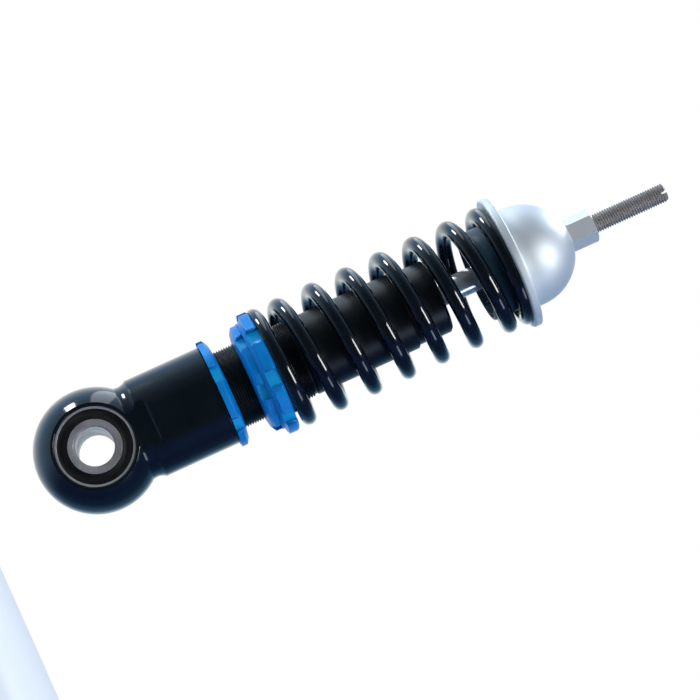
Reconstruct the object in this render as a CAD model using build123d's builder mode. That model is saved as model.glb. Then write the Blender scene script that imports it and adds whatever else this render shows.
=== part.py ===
"""Coil-over strut: bushed eye, threaded damper body, preload rings, coil spring, spring cup and stud.

The strut stands upright on its eye. +Z runs along the strut from the eye to the stud, the bore of
the eye runs along Y, and the origin is the centre of that bore. All sizes are in millimetres.
"""

import os
from math import cos, pi, radians, sin

from build123d import *

# ---------------------------------------------------------------- clearances
running_gap = 0.05      # radial gap of a shaft that turns or slides in its hole
free_gap = 0.3          # radial gap between moving parts that don't guide each other
seat_gap = 0.05         # axial gap between faces that bear on each other across a joint
socket_gap = 4.0        # depth left below the damper tube in its socket
cup_gap = 1.4           # radial gap between the barrel and the spring cup's bore
skirt_gap = 0.95        # radial gap between the cup's skirt and the spring
pilot_gap = 0.65        # radial gap between the nut's pilot and the spring

# ---------------------------------------------------------------- lower bush
bore_dia = 18.0         # hole for the mounting bolt
inner_sleeve_wall = 3.5
sleeve_length = 43.0    # inner sleeve, face to face
sleeve_chamfer = 1.0
bush_dia = 37.0         # bonded bush, pressed into the eye
outer_sleeve_wall = 1.0
outer_sleeve_recess = 0.8   # outer sleeve below the eye's face, each side
rubber_recess = 2.0     # rubber below the eye's face, each side

# ---------------------------------------------------------------- eye housing
eye_width = 43.0        # across the two flats
eye_land = 1.7          # flat rim left round the bush
bush_bore_chamfer = 0.6
thread_dia = 38.0       # outside of the damper tube's thread
socket_wall = 5.1
neck_depth = 1.3        # neck below the housing's body, on the radius
neck_entry_depth = 1.1  # where the neck leaves the ball, on the radius
neck_height = 6.0
flat_rise = 5.1         # side flats past the shoulder
flat_fillet = 2.0
body_height = 37.3
body_chamfer = 0.6

# ---------------------------------------------------------------- damper tube
tube_insertion = 26.0   # length screwed into the eye housing
tube_length = 120.4
tube_wall = 4.0
barrel_step = 0.2       # barrel below the thread, on the radius
head_step = 1.5         # wider bore at both ends, on the radius
thread_spare = 13.0     # thread above the preload nut
tube_chamfer = 1.0
plug_height = 6.0
plug_setback = 1.0      # base plug above the tube's lower end
cap_insertion = 14.2    # end cap screwed into the tube
valve_dia = 5.0
valve_head_dia = 8.0
valve_head_height = 2.0
valve_key = 3.0

# ---------------------------------------------------------------- lock rings and preload nut
ring_overhang = 2.1     # ring past the housing's body, on the radius
ring_rim = 2.8          # axial length of the ring's full diameter
ring_height = 5.2
ring_shoulder = 2.7     # first cone of the ring, on the radius
ring_shoulder_height = 1.6
ring_slot_count = 6
ring_slot_depth = 2.2
thread_shown = 9.9      # thread between the two lock rings
nut_margin = 0.15       # nut inside the spring's outside, on the radius
nut_height = 7.4
nut_collar_step = 0.4   # collar past the lock ring, on the radius
nut_collar_height = 1.2
nut_rise = 0.9          # axial length of the cone between collar and full diameter
nut_chamfer = 1.0
nut_slot_count = 8
nut_slot_depth = 2.6
slot_width = 7.8        # spanner slots, the same on every ring
nut_pilot_height = 2.5
body_ring_turn = 14.1   # degrees of the first slot from +X
preload_ring_turn = -7.5
nut_turn = 12.4

# ---------------------------------------------------------------- coil spring
wire_dia = 7.5
spring_height = 119.0
spring_turns = 7.9
closing_turns = 1.2     # at each end
closing_slope = 1.6     # rise per turn where the wire ends
end_offset = 0.45       # wire centre inside the ground face, at the wire's ends
spring_start = 77.4     # degrees of the lower wire end from +X

# ---------------------------------------------------------------- end cap, seals and piston
rod_dia = 12.0
cap_step = 0.8          # cap below the barrel, on the radius
cap_neck_step = 0.45    # neck below the cap, on the radius
cap_neck_height = 4.3
cap_height = 13.0
cap_chamfer = 1.2
cap_hole_gap = 0.5
seal_wall = 4.0
seal_height = 6.5
guide_wall = 1.5
guide_length = 13.0
guide_drop = 3.0        # top of the guide bush below the wiper
wiper_wall = 3.5
wiper_height = 5.0
cord_dia = 2.4          # O-ring section
groove_side = 0.2       # O-ring groove wider than the ring, each side
rod_end_step = 2.0      # lower end, which carries the piston, on the radius
bumper_height = 5.9
bumper_wall = 5.0
snap_ring_height = 1.7
snap_ring_width = 2.8
snap_groove_depth = 0.8
snap_ring_setback = 2.3  # snap ring above the rod's lower shoulder
shim_count = 3
shim_thickness = 0.45
shim_step = 1.5         # each shim smaller than the last, on the radius
shim_lap = 0.9          # widest shim past the ports
piston_height = 12.0
band_height = 7.0
band_thickness = 1.8
port_dia = 3.4
port_count = 6
piston_nut_flats = 13.0
piston_nut_height = 6.8
rod_end_spare = 2.4     # rod end past the piston nut
gas_chamber = 11.2      # between the base plug and the floating piston
floating_height = 9.0
floating_wall = 3.7
floating_recess = 4.6

# ---------------------------------------------------------------- spring cup, bump stop and stud
flange_overhang = 2.1   # flange past the spring, on the radius
flange_height = 4.0
flange_round = 0.9
dome_wall = 4.05        # at the foot of the dome
dome_height = 27.9      # above the flange
dome_fillet = 1.5
crown_dia = 16.8        # flat top of the dome, under the nut
crown_thickness = 3.0
skirt_wall = 1.5
skirt_length = 15.5
skirt_chamfer = 0.5
washer_width = 5.4
washer_height = 1.5
bump_stop_wall = 6.0
bump_stop_height = 14.5
bump_stop_waist = 2.5
stud_dia = 9.0
shank_step = 0.5        # thread under the nut over the stud's thread, on the radius
stud_length = 37.6      # past the nut
stud_chamfer = 0.8
slot_cut = 1.5
slot_cut_depth = 2.5
cup_nut_flats = 14.0
cup_nut_height = 13.2

# ---------------------------------------------------------------- derived diameters
inner_sleeve_dia = bore_dia + 2 * inner_sleeve_wall
rubber_dia = bush_dia - 2 * outer_sleeve_wall
body_dia = thread_dia + 2 * socket_wall
body_radius = body_dia / 2
neck_radius = body_radius - neck_depth
neck_entry_radius = body_radius - neck_entry_depth
eye_radius = ((bush_dia / 2 + eye_land) ** 2 + (eye_width / 2) ** 2) ** 0.5
tube_bore = thread_dia - 2 * tube_wall
head_bore = tube_bore + 2 * head_step
barrel_dia = thread_dia - 2 * barrel_step
cap_dia = barrel_dia - 2 * cap_step
cap_neck_dia = cap_dia - 2 * cap_neck_step
cap_hole_dia = rod_dia + 2 * cap_hole_gap
running_rod_dia = rod_dia + 2 * running_gap
ring_dia = body_dia + 2 * ring_overhang
ring_bore = thread_dia + 2 * running_gap
cup_bore = barrel_dia + 2 * cup_gap
skirt_radius = cup_bore / 2 + skirt_wall
spring_inner_dia = 2 * (skirt_radius + skirt_gap)
spring_dia = spring_inner_dia + 2 * wire_dia
nut_dia = spring_dia - 2 * nut_margin
nut_collar_dia = ring_dia + 2 * nut_collar_step
flange_dia = spring_dia + 2 * flange_overhang
dome_radius = cup_bore / 2 + dome_wall
seal_dia = rod_dia + 2 * seal_wall
guide_dia = rod_dia + 2 * guide_wall
wiper_dia = rod_dia + 2 * wiper_wall
rod_end_dia = rod_dia - 2 * rod_end_step
snap_groove_dia = rod_dia - 2 * snap_groove_depth
piston_dia = tube_bore - 2 * free_gap
band_dia = tube_bore - 2 * running_gap
band_bore = band_dia - 2 * band_thickness
port_circle = (rod_end_dia + band_bore) / 2
shank_dia = stud_dia + 2 * shank_step
washer_dia = shank_dia + 2 * washer_width

# ---------------------------------------------------------------- derived heights
neck_entry_z = (eye_radius**2 - neck_entry_radius**2) ** 0.5
shoulder_z = neck_entry_z + neck_height
flat_top_z = shoulder_z + flat_rise
body_top_z = shoulder_z + body_height
tube_bottom_z = body_top_z - tube_insertion
tube_top_z = tube_bottom_z + tube_length
socket_floor_z = tube_bottom_z - socket_gap
preload_ring_z = body_top_z + ring_height + thread_shown
preload_ring_top_z = preload_ring_z + ring_height
nut_bottom_z = preload_ring_top_z + seat_gap
nut_top_z = nut_bottom_z + nut_height
thread_top_z = nut_top_z + thread_spare
spring_bottom_z = nut_top_z + seat_gap
spring_top_z = spring_bottom_z + spring_height
flange_z = spring_top_z + seat_gap
flange_top_z = flange_z + flange_height
cup_top_z = flange_top_z + dome_height
cup_inner_z = cup_top_z - crown_thickness
washer_z = cup_inner_z - washer_height
cap_bottom_z = tube_top_z - cap_insertion
cap_neck_top_z = tube_top_z + cap_neck_height
cap_top_z = cap_neck_top_z + cap_height
wiper_z = cap_top_z - wiper_height
guide_z = wiper_z - guide_drop - guide_length
cap_ring_z = cap_bottom_z + cap_insertion / 2
snap_ring_top_z = cap_bottom_z - 2 * seat_gap - bumper_height
snap_ring_z = snap_ring_top_z - snap_ring_height
rod_shoulder_z = snap_ring_z - snap_ring_setback
shim_stack = shim_thickness * shim_count
piston_top_z = rod_shoulder_z - shim_stack
piston_z = piston_top_z - piston_height
piston_nut_z = piston_z - shim_stack - piston_nut_height
rod_bottom_z = piston_nut_z - rod_end_spare
cup_nut_top_z = cup_top_z + cup_nut_height
stud_top_z = cup_nut_top_z + stud_length
plug_z = tube_bottom_z + plug_setback
plug_top_z = plug_z + plug_height
floating_z = plug_top_z + gas_chamber
floating_ring_z = floating_z + floating_recess
groove_height = cord_dia + 2 * groove_side
eye_axis = Plane.XZ     # its normal is -Y, along the bore of the eye

os.makedirs("parts", exist_ok=True)


def save(part: Part, name: str) -> None:
    """Label a finished piece and write it as its own STEP file."""
    part.label = name
    export_step(part, f"parts/{name}.step")


def turned(points: list) -> Part:
    """Turn a closed outline of (radius, height) points about the strut's axis."""
    with BuildPart() as body:
        with BuildSketch(Plane.XZ):
            with BuildLine():
                Polyline(*points, close=True)
            make_face()
        revolve(axis=Axis.Z)
    return body.part


def turned_ring(inner_dia: float, outer_dia: float, bottom: float, height: float) -> Part:
    """Turn a plain ring of rectangular section."""
    low, high = bottom, bottom + height
    inner, outer = inner_dia / 2, outer_dia / 2
    return turned([(inner, low), (outer, low), (outer, high), (inner, high)])


def turned_cord(centre_dia: float, middle: float) -> Part:
    """Turn an O-ring about the strut's axis."""
    with BuildPart() as ring:
        with BuildSketch(Plane.XZ):
            with Locations((centre_dia / 2, middle)):
                Circle(cord_dia / 2)
        revolve(axis=Axis.Z)
    return ring.part


def cross_tube(inner_dia: float, outer_dia: float, length: float) -> Part:
    """Make a plain tube along the bore axis of the eye, centred on the strut."""
    with BuildPart() as tube:
        with BuildSketch(eye_axis):
            Circle(outer_dia / 2)
            Circle(inner_dia / 2, mode=Mode.SUBTRACT)
        extrude(amount=length / 2, both=True)
    return tube.part


def spanner_slots(outer_dia: float, depth: float, count: int, turn: float, low: float, height: float) -> Part:
    """Make the cutters for a ring's spanner slots, spaced evenly round its rim."""
    cutter_size = 2 * depth
    with BuildPart() as cutters:
        with BuildSketch(Plane.XY.offset(low)):
            with PolarLocations(outer_dia / 2 - depth + cutter_size / 2, count, turn):
                Rectangle(cutter_size, slot_width)
        extrude(amount=height)
    return cutters.part


# ================================================================ lower bush
with BuildPart() as bush_inner_sleeve:
    add(cross_tube(bore_dia, inner_sleeve_dia, sleeve_length))
    bore_edges = bush_inner_sleeve.edges().filter_by(GeomType.CIRCLE).group_by(SortBy.RADIUS)[0]
    chamfer(bore_edges, sleeve_chamfer)
save(bush_inner_sleeve.part, "bush_inner_sleeve")

with BuildPart() as bush_rubber:
    add(cross_tube(inner_sleeve_dia + 2 * running_gap, rubber_dia, eye_width - 2 * rubber_recess))
save(bush_rubber.part, "bush_rubber")

with BuildPart() as bush_outer_sleeve:
    add(cross_tube(rubber_dia, bush_dia, eye_width - 2 * outer_sleeve_recess))
save(bush_outer_sleeve.part, "bush_outer_sleeve")

# ================================================================ eye housing
with BuildPart() as eye_housing:
    with BuildSketch(Plane.XZ):
        with BuildLine():
            ThreePointArc((0, -eye_radius), (eye_radius, 0), (neck_entry_radius, neck_entry_z))
            ThreePointArc(
                (neck_entry_radius, neck_entry_z),
                (neck_radius, neck_entry_z + neck_height / 2),
                (body_radius, shoulder_z),
            )
            Polyline(
                (body_radius, shoulder_z),
                (body_radius, body_top_z - body_chamfer),
                (body_radius - body_chamfer, body_top_z),
                (0, body_top_z),
                (0, -eye_radius),
            )
        make_face()
    revolve(axis=Axis.Z)
    for side in (-1, 1):
        with BuildSketch(Plane.YZ):
            with Locations((side * (eye_width / 2 + eye_radius), flat_top_z - 2 * eye_radius)):
                flat_cut = Rectangle(2 * eye_radius, 4 * eye_radius)
            inner_corner = flat_cut.vertices().sort_by(Axis.Z).group_by(Axis.Z)[-1]
            inner_corner = inner_corner.sort_by(Axis.Y)[-1 if side < 0 else 0]
            fillet(inner_corner, flat_fillet)
        extrude(amount=2 * eye_radius, both=True, mode=Mode.SUBTRACT)
    with BuildSketch(Plane.XY.offset(body_top_z)):
        Circle(ring_bore / 2)
    extrude(amount=socket_floor_z - body_top_z, mode=Mode.SUBTRACT)
    with BuildSketch(eye_axis):
        Circle(bush_dia / 2)
    extrude(amount=eye_width, both=True, mode=Mode.SUBTRACT)
    bush_edges = eye_housing.edges().filter_by(GeomType.CIRCLE)
    bush_edges = bush_edges.filter_by(lambda edge: abs(edge.radius - bush_dia / 2) < 0.01)
    chamfer(bush_edges, bush_bore_chamfer)
save(eye_housing.part, "eye_housing")


# ================================================================ lock rings and preload nut
def lock_ring_outline(face: float, direction: int) -> list:
    """List the section of a lock ring whose flat face is at a height and whose cone looks the other way."""
    rim = ring_dia / 2
    return [
        (ring_bore / 2, face),
        (rim, face),
        (rim, face + direction * ring_rim),
        (rim - ring_shoulder, face + direction * (ring_rim + ring_shoulder_height)),
        (ring_bore / 2, face + direction * ring_height),
    ]


with BuildPart() as body_lock_ring:
    add(turned(lock_ring_outline(body_top_z, 1)))
    add(
        spanner_slots(ring_dia, ring_slot_depth, ring_slot_count, body_ring_turn, body_top_z, ring_height),
        mode=Mode.SUBTRACT,
    )
save(body_lock_ring.part, "body_lock_ring")

with BuildPart() as preload_lock_ring:
    add(turned(lock_ring_outline(preload_ring_top_z, -1)))
    add(
        spanner_slots(
            ring_dia, ring_slot_depth, ring_slot_count, preload_ring_turn, preload_ring_z, ring_height
        ),
        mode=Mode.SUBTRACT,
    )
save(preload_lock_ring.part, "preload_lock_ring")

pilot_radius = spring_inner_dia / 2 - pilot_gap
nut_collar_z = nut_bottom_z + nut_collar_height
nut_rim_z = nut_collar_z + nut_rise
with BuildPart() as preload_nut:
    add(
        turned(
            [
                (ring_bore / 2, nut_bottom_z),
                (nut_collar_dia / 2, nut_bottom_z),
                (nut_collar_dia / 2, nut_collar_z),
                (nut_dia / 2, nut_rim_z),
                (nut_dia / 2, nut_top_z - nut_chamfer),
                (nut_dia / 2 - nut_chamfer, nut_top_z),
                (pilot_radius, nut_top_z),
                (pilot_radius, nut_top_z + nut_pilot_height),
                (ring_bore / 2, nut_top_z + nut_pilot_height),
            ]
        )
    )
    add(
        spanner_slots(nut_dia, nut_slot_depth, nut_slot_count, nut_turn, nut_bottom_z, nut_height),
        mode=Mode.SUBTRACT,
    )
save(preload_nut.part, "preload_nut")

# ================================================================ coil spring
coil_radius = (spring_dia - wire_dia) / 2
open_turns = spring_turns - 2 * closing_turns
spring_rise = spring_height - 2 * end_offset
spring_pitch = (spring_rise - closing_turns * closing_slope) / (open_turns + closing_turns)
closing_rise = closing_turns * (spring_pitch + closing_slope) / 2


def wire_height(turn: float) -> float:
    """Give the height of the wire's centre after a number of turns from the lower wire end."""
    if turn > spring_turns / 2:
        return 2 * (spring_bottom_z + spring_height / 2) - wire_height(spring_turns - turn)
    start = spring_bottom_z + end_offset
    if turn < closing_turns:
        return start + closing_slope * turn + (spring_pitch - closing_slope) * turn**2 / (2 * closing_turns)
    return start + closing_rise + spring_pitch * (turn - closing_turns)


def wire_point(turn: float) -> tuple:
    """Give a point on the wire's centre line."""
    angle = radians(spring_start) + 2 * pi * turn
    return (coil_radius * cos(angle), coil_radius * sin(angle), wire_height(turn))


steps_per_turn = 12
wire_steps = round(spring_turns * steps_per_turn)
wire_path = Spline(*[wire_point(spring_turns * step / wire_steps) for step in range(wire_steps + 1)])
with BuildPart() as coil_spring:
    with BuildSketch(Plane(origin=wire_path @ 0, z_dir=wire_path % 0)):
        Circle(wire_dia / 2)
    sweep(path=wire_path, is_frenet=True)
    split(bisect_by=Plane.XY.offset(spring_bottom_z), keep=Keep.TOP)
    split(bisect_by=Plane.XY.offset(spring_top_z), keep=Keep.BOTTOM)
save(coil_spring.part, "coil_spring")

# ================================================================ damper tube and its base
with BuildPart() as damper_tube:
    add(
        turned(
            [
                (head_bore / 2, tube_bottom_z),
                (thread_dia / 2 - tube_chamfer, tube_bottom_z),
                (thread_dia / 2, tube_bottom_z + tube_chamfer),
                (thread_dia / 2, thread_top_z),
                (barrel_dia / 2, thread_top_z),
                (barrel_dia / 2, tube_top_z - tube_chamfer),
                (barrel_dia / 2 - tube_chamfer, tube_top_z),
                (head_bore / 2, tube_top_z),
                (head_bore / 2, cap_bottom_z),
                (tube_bore / 2, cap_bottom_z),
                (tube_bore / 2, plug_top_z),
                (head_bore / 2, plug_top_z),
            ]
        )
    )
save(damper_tube.part, "damper_tube")

plug_ring_z = (plug_z + plug_top_z) / 2
with BuildPart() as base_plug:
    add(turned_ring(valve_dia, head_bore, plug_z, plug_height))
    add(
        turned_ring(head_bore - 2 * cord_dia, head_bore, plug_ring_z - groove_height / 2, groove_height),
        mode=Mode.SUBTRACT,
    )
    add(turned_ring(valve_dia, valve_head_dia, plug_z, valve_head_height), mode=Mode.SUBTRACT)
save(base_plug.part, "base_plug")

with BuildPart() as base_o_ring:
    add(turned_cord(head_bore - cord_dia, plug_ring_z))
save(base_o_ring.part, "base_o_ring")

with BuildPart() as charge_screw:
    with BuildSketch(Plane.XY.offset(plug_z)):
        Circle(valve_head_dia / 2)
    extrude(amount=valve_head_height)
    with BuildSketch(Plane.XY.offset(plug_z + valve_head_height)):
        Circle(valve_dia / 2)
    extrude(amount=plug_height - valve_head_height)
    with BuildSketch(Plane.XY.offset(plug_z)):
        RegularPolygon(valve_key / 2, 6, major_radius=False)
    extrude(amount=valve_head_height, mode=Mode.SUBTRACT)
save(charge_screw.part, "charge_screw")

# ================================================================ end cap and seals
with BuildPart() as end_cap:
    add(
        turned(
            [
                (cap_hole_dia / 2, cap_bottom_z),
                (head_bore / 2, cap_bottom_z),
                (head_bore / 2, tube_top_z),
                (cap_neck_dia / 2, tube_top_z),
                (cap_neck_dia / 2, cap_neck_top_z),
                (cap_dia / 2, cap_neck_top_z),
                (cap_dia / 2, cap_top_z - cap_chamfer),
                (cap_dia / 2 - cap_chamfer, cap_top_z),
                (cap_hole_dia / 2, cap_top_z),
            ]
        )
    )
    add(turned_ring(rod_dia, seal_dia, cap_bottom_z, seal_height), mode=Mode.SUBTRACT)
    add(turned_ring(rod_dia, guide_dia, guide_z, cap_top_z - guide_z), mode=Mode.SUBTRACT)
    add(turned_ring(rod_dia, wiper_dia, wiper_z, wiper_height), mode=Mode.SUBTRACT)
    add(
        turned_ring(head_bore - 2 * cord_dia, head_bore, cap_ring_z - groove_height / 2, groove_height),
        mode=Mode.SUBTRACT,
    )
save(end_cap.part, "end_cap")

with BuildPart() as cap_o_ring:
    add(turned_cord(head_bore - cord_dia, cap_ring_z))
save(cap_o_ring.part, "cap_o_ring")

with BuildPart() as rod_seal:
    add(turned_ring(running_rod_dia, seal_dia, cap_bottom_z, seal_height))
save(rod_seal.part, "rod_seal")

with BuildPart() as guide_bush:
    add(turned_ring(running_rod_dia, guide_dia, guide_z, guide_length))
save(guide_bush.part, "guide_bush")

with BuildPart() as rod_wiper:
    add(turned_ring(running_rod_dia, wiper_dia, wiper_z, wiper_height))
save(rod_wiper.part, "rod_wiper")

# ================================================================ piston rod with its stud
with BuildPart() as piston_rod:
    add(
        turned(
            [
                (0, rod_bottom_z),
                (rod_end_dia / 2, rod_bottom_z),
                (rod_end_dia / 2, rod_shoulder_z),
                (rod_dia / 2, rod_shoulder_z),
                (rod_dia / 2, snap_ring_z),
                (snap_groove_dia / 2, snap_ring_z),
                (snap_groove_dia / 2, snap_ring_top_z),
                (rod_dia / 2, snap_ring_top_z),
                (rod_dia / 2, washer_z),
                (shank_dia / 2, washer_z),
                (shank_dia / 2, cup_nut_top_z),
                (stud_dia / 2, cup_nut_top_z),
                (stud_dia / 2, stud_top_z - stud_chamfer),
                (stud_dia / 2 - stud_chamfer, stud_top_z),
                (0, stud_top_z),
            ]
        )
    )
    with BuildSketch(Plane.XY.offset(stud_top_z)):
        Rectangle(slot_cut, 2 * stud_dia)
    extrude(amount=-slot_cut_depth, mode=Mode.SUBTRACT)
save(piston_rod.part, "piston_rod")

with BuildPart() as rebound_bumper:
    add(turned_ring(rod_dia, rod_dia + 2 * bumper_wall, snap_ring_top_z, bumper_height))
save(rebound_bumper.part, "rebound_bumper")

with BuildPart() as snap_ring:
    snap_ring_dia = snap_groove_dia + 2 * snap_ring_width
    add(turned_ring(snap_groove_dia, snap_ring_dia, snap_ring_z, snap_ring_height))
save(snap_ring.part, "snap_ring")

# ================================================================ piston and its valve shims
band_z = (piston_z + piston_top_z - band_height) / 2
with BuildPart() as piston:
    add(turned_ring(rod_end_dia, piston_dia, piston_z, piston_height))
    add(
        turned_ring(band_bore, tube_bore, band_z, band_height),
        mode=Mode.SUBTRACT,
    )
    with BuildSketch(Plane.XY.offset(piston_z)):
        with PolarLocations(port_circle / 2, port_count):
            Circle(port_dia / 2)
    extrude(amount=piston_height, mode=Mode.SUBTRACT)
save(piston.part, "piston")

with BuildPart() as piston_band:
    add(turned_ring(band_bore, band_dia, band_z, band_height))
save(piston_band.part, "piston_band")


def shim_pack(face: float, direction: int) -> Part:
    """Stack the valve shims on a piston face, the widest first, as separate solids."""
    widest = port_circle + port_dia + 2 * shim_lap
    shims = []
    for place in range(shim_count):
        near = face + direction * place * shim_thickness
        low = min(near, near + direction * shim_thickness)
        shims.append(turned_ring(rod_end_dia, widest - 2 * place * shim_step, low, shim_thickness))
    return Compound(children=shims)


save(shim_pack(piston_top_z, 1), "rebound_shims")
save(shim_pack(piston_z, -1), "compression_shims")

with BuildPart() as piston_nut:
    with BuildSketch(Plane.XY.offset(piston_nut_z)):
        RegularPolygon(piston_nut_flats / 2, 6, major_radius=False)
        Circle(rod_end_dia / 2, mode=Mode.SUBTRACT)
    extrude(amount=piston_nut_height)
save(piston_nut.part, "piston_nut")

# ================================================================ floating piston
with BuildPart() as floating_piston:
    with BuildSketch(Plane.XY.offset(floating_z)):
        Circle(piston_dia / 2)
    extrude(amount=floating_height)
    with BuildSketch(Plane.XY.offset(floating_z)):
        Circle(piston_dia / 2 - floating_wall)
    extrude(amount=floating_recess, mode=Mode.SUBTRACT)
    add(
        turned_ring(band_dia - 2 * cord_dia, tube_bore, floating_ring_z - groove_height / 2, groove_height),
        mode=Mode.SUBTRACT,
    )
save(floating_piston.part, "floating_piston")

with BuildPart() as floating_piston_o_ring:
    add(turned_cord(band_dia - cord_dia, floating_ring_z))
save(floating_piston_o_ring.part, "floating_piston_o_ring")

# ================================================================ spring cup
dome_centre_z = cup_top_z - (dome_radius**2 - (crown_dia / 2) ** 2) ** 0.5
dome_arc_middle = dome_radius * sin(radians(45))
skirt_bottom_z = flange_z - skirt_length
inner_crown_radius = washer_dia / 2 + free_gap
inner_arc_start_z = dome_centre_z + dome_radius / 6
with BuildPart() as spring_cup:
    with BuildSketch(Plane.XZ):
        with BuildLine():
            Polyline(
                (dome_radius, dome_centre_z),
                (dome_radius, flange_top_z),
                (flange_dia / 2, flange_top_z),
                (flange_dia / 2, flange_z),
                (skirt_radius, flange_z),
                (skirt_radius, skirt_bottom_z + skirt_chamfer),
                (skirt_radius - skirt_chamfer, skirt_bottom_z),
                (cup_bore / 2, skirt_bottom_z),
                (cup_bore / 2, inner_arc_start_z),
            )
            TangentArc(
                (cup_bore / 2, inner_arc_start_z), (inner_crown_radius, cup_inner_z), tangent=(0, 1)
            )
            Polyline(
                (inner_crown_radius, cup_inner_z),
                (shank_dia / 2, cup_inner_z),
                (shank_dia / 2, cup_top_z),
                (crown_dia / 2, cup_top_z),
            )
            ThreePointArc(
                (crown_dia / 2, cup_top_z),
                (dome_arc_middle, dome_centre_z + dome_arc_middle),
                (dome_radius, dome_centre_z),
            )
        make_face()
    revolve(axis=Axis.Z)
    rim_edges = spring_cup.edges().filter_by(GeomType.CIRCLE)
    fillet(rim_edges.filter_by(lambda edge: edge.radius > flange_dia / 2 - 0.01), flange_round)
    root_edge = spring_cup.edges().filter_by(GeomType.CIRCLE).filter_by_position(
        Axis.Z, flange_top_z - 0.01, flange_top_z + 0.01
    )
    fillet(root_edge.filter_by(lambda edge: abs(edge.radius - dome_radius) < 0.01), dome_fillet)
save(spring_cup.part, "spring_cup")

with BuildPart() as cup_washer:
    add(turned_ring(shank_dia, washer_dia, washer_z, washer_height))
save(cup_washer.part, "cup_washer")

bump_stop_radius = rod_dia / 2 + bump_stop_wall
bump_stop_waist_radius = bump_stop_radius - bump_stop_waist
bump_stop_z = washer_z - bump_stop_height
with BuildPart() as bump_stop:
    add(
        turned(
            [
                (rod_dia / 2, bump_stop_z),
                (bump_stop_waist_radius, bump_stop_z),
                (bump_stop_radius, bump_stop_z + bump_stop_height / 4),
                (bump_stop_waist_radius, bump_stop_z + bump_stop_height / 2),
                (bump_stop_radius, bump_stop_z + bump_stop_height * 3 / 4),
                (bump_stop_waist_radius, washer_z),
                (rod_dia / 2, washer_z),
            ]
        )
    )
save(bump_stop.part, "bump_stop")

nut_corner = cup_nut_flats / 2 / cos(radians(30))
nut_edge_drop = (nut_corner - cup_nut_flats / 2) * 0.6
with BuildPart() as cup_nut:
    with BuildSketch(Plane.XY.offset(cup_top_z)):
        RegularPolygon(cup_nut_flats / 2, 6, major_radius=False)
        Circle(shank_dia / 2, mode=Mode.SUBTRACT)
    extrude(amount=cup_nut_height)
    add(
        turned(
            [
                (0, cup_top_z),
                (cup_nut_flats / 2, cup_top_z),
                (nut_corner, cup_top_z + nut_edge_drop),
                (nut_corner, cup_nut_top_z - nut_edge_drop),
                (cup_nut_flats / 2, cup_nut_top_z),
                (0, cup_nut_top_z),
            ]
        ),
        mode=Mode.INTERSECT,
    )
save(cup_nut.part, "cup_nut")
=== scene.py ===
"""Strut assembly: finishes and fine shapes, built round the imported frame.

Every size is in metres. The strut stands along +Z, the eye's bore runs along Y, and the origin is
the centre of that bore.
"""

import logging
import math
from collections.abc import Callable
from dataclasses import dataclass, field
from enum import Enum

import bmesh
import bpy
from mathutils import Matrix, Vector


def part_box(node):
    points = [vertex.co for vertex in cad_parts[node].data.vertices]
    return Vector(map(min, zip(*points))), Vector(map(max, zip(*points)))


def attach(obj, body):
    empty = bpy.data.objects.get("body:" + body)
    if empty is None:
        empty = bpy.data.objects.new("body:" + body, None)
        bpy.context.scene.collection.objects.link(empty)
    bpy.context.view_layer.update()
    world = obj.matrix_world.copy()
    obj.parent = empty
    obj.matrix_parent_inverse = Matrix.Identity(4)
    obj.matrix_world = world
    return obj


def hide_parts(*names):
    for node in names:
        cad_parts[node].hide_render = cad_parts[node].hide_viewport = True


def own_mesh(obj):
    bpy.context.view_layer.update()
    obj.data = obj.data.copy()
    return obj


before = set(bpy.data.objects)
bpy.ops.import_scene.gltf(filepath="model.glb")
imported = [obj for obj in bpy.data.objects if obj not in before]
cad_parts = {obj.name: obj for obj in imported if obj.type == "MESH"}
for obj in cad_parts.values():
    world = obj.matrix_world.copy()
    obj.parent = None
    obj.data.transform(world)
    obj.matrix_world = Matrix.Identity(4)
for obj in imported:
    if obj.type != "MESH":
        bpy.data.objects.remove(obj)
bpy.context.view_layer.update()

LOG = logging.getLogger("strut")
Colour = tuple[float, float, float]
Chain = list[tuple[float, float]]
Stops = tuple[tuple[float, Colour], ...]
FULL_TURN = 2 * math.pi
UPWARDS = Vector((0, 0, 1))
WHITE = (1.0, 1.0, 1.0)
WELD = 2e-6         # points nearer than this are one point
CUT_REACH = 1e-7    # how far from a cut a point still lies on it
RIM_REACH = 1e-5    # how far from a height an open edge still belongs to it


class Axis(Enum):
    """The axis that a turned part was cut about."""

    STRUT = "Z"
    BORE = "Y"


class Grain(Enum):
    """The fine texture that a finish has."""

    PEEL = "soft ripple of a baked coat"
    TURNED = "rings left by a lathe tool"
    BLASTED = "small pits from glass beads"
    MOULDED = "dull skin from a mould"
    DRAWN = "fine lines along the part"


class LampShape(Enum):
    """The outline of a soft box."""

    BOX = "RECTANGLE"
    ROUND = "ELLIPSE"


GRAIN_LAYERS = {Grain.PEEL: 0.5, Grain.TURNED: 3.0, Grain.BLASTED: 3.0, Grain.MOULDED: 5.0,
                Grain.DRAWN: 3.0}   # finer layers of noise in each grain
DRAWN_STRETCH = 40.0    # length of a drawn line over its width
PIT_FILL = 0.7          # clouds between blasted pits, over the pits' width
PATCH_SIZE = 0.018      # large soft patches in every finish
PATCH_LAYERS = 3.0
PATCH_FADE = (0.35, 0.7)    # noise over which a patch turns to the drift colour
PATCH_SMEAR = 0.6       # share of the patches in the roughness
GRAIN_SMEAR = 0.4       # share of the fine texture in the roughness
SMEAR_FADE = (0.3, 0.7)
EDGE_FADE = (0.80, 0.995)   # turn of the rounded edge over which the edge colour fades out: wear on some finishes, painted edge highlight on others
WEAR_AND_GLINT_SIZE = 0.004       # patches of wear and of painted edge highlight along an edge
WEAR_AND_GLINT_LAYERS = 4.0
WEAR_AND_GLINT_FADE = (0.3, 0.7)
LEAST_WEAR_AND_GLINT = 0.35
BEVEL_SAMPLES = 6
SHARP = 35.0            # degrees past which an edge stays sharp


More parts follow.
